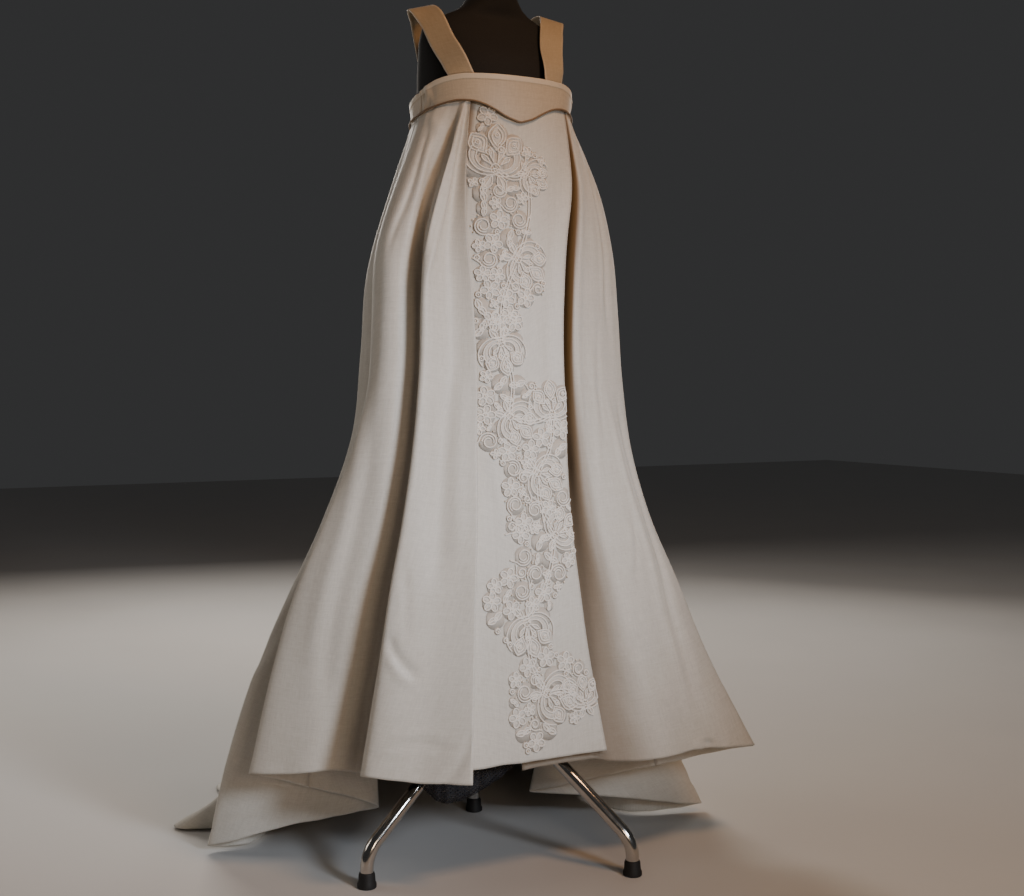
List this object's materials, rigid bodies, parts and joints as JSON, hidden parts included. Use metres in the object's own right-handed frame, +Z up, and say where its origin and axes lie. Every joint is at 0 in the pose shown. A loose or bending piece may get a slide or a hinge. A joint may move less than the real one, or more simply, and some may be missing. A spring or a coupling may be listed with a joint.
{
  "type": "wedding dress on a limbless dress form with a tripod stand",
  "caption": "Sleeveless high-waisted wedding gown with a pleated full skirt, lace front panel and train, standing on a dress form with a chromed tripod.",
  "frame": {"origin": "centre of the whole object's box, on the floor", "axes": "+Z up, -Y the way centre front faces, +X the wearer's left"},
  "size_m": [0.965, 1.0702, 1.6],
  "materials": {
    "ivory_silk": "plain-woven silk with a soft sheen",
    "tan_silk": "the same silk, a shade deeper, firmly backed",
    "lace_thread": "corded lace, matt thread",
    "blue_black_net": "fine stiff net",
    "form_cover": "matt black jersey",
    "chromed_tube": "polished",
    "foot_rubber": "matt"
  },
  "bodies": {
    "root": {"panel_right_front": "ivory_silk", "panel_right_back": "ivory_silk", "panel_left_back": "ivory_silk", "panel_left_front": "ivory_silk", "panel_centre_front": "ivory_silk", "net_flounce": "blue_black_net", "band_front": "tan_silk", "band_back_left": "tan_silk", "band_back_right": "tan_silk", "piping": "tan_silk", "button_1": "tan_silk", "button_2": "tan_silk", "strap_right": "tan_silk", "strap_left": "tan_silk", "lace_01": "lace_thread", "lace_02": "lace_thread", "lace_03": "lace_thread", "lace_04": "lace_thread", "lace_05": "lace_thread", "lace_06": "lace_thread", "lace_07": "lace_thread", "lace_08": "lace_thread", "lace_09": "lace_thread", "lace_10": "lace_thread", "lace_11": "lace_thread", "lace_12": "lace_thread", "lace_13": "lace_thread", "lace_14": "lace_thread", "lace_15": "lace_thread", "lace_16": "lace_thread", "lace_17": "lace_thread", "lace_18": "lace_thread", "lace_19": "lace_thread", "lace_20": "lace_thread", "lace_21": "lace_thread", "dress_form": "form_cover", "stand_pole": "chromed_tube", "stand_hub": "chromed_tube", "stand_leg_1": "chromed_tube", "stand_leg_2": "chromed_tube", "stand_leg_3": "chromed_tube", "stand_foot_1": "foot_rubber", "stand_foot_2": "foot_rubber", "stand_foot_3": "foot_rubber"}
  },
  "joints": []
}
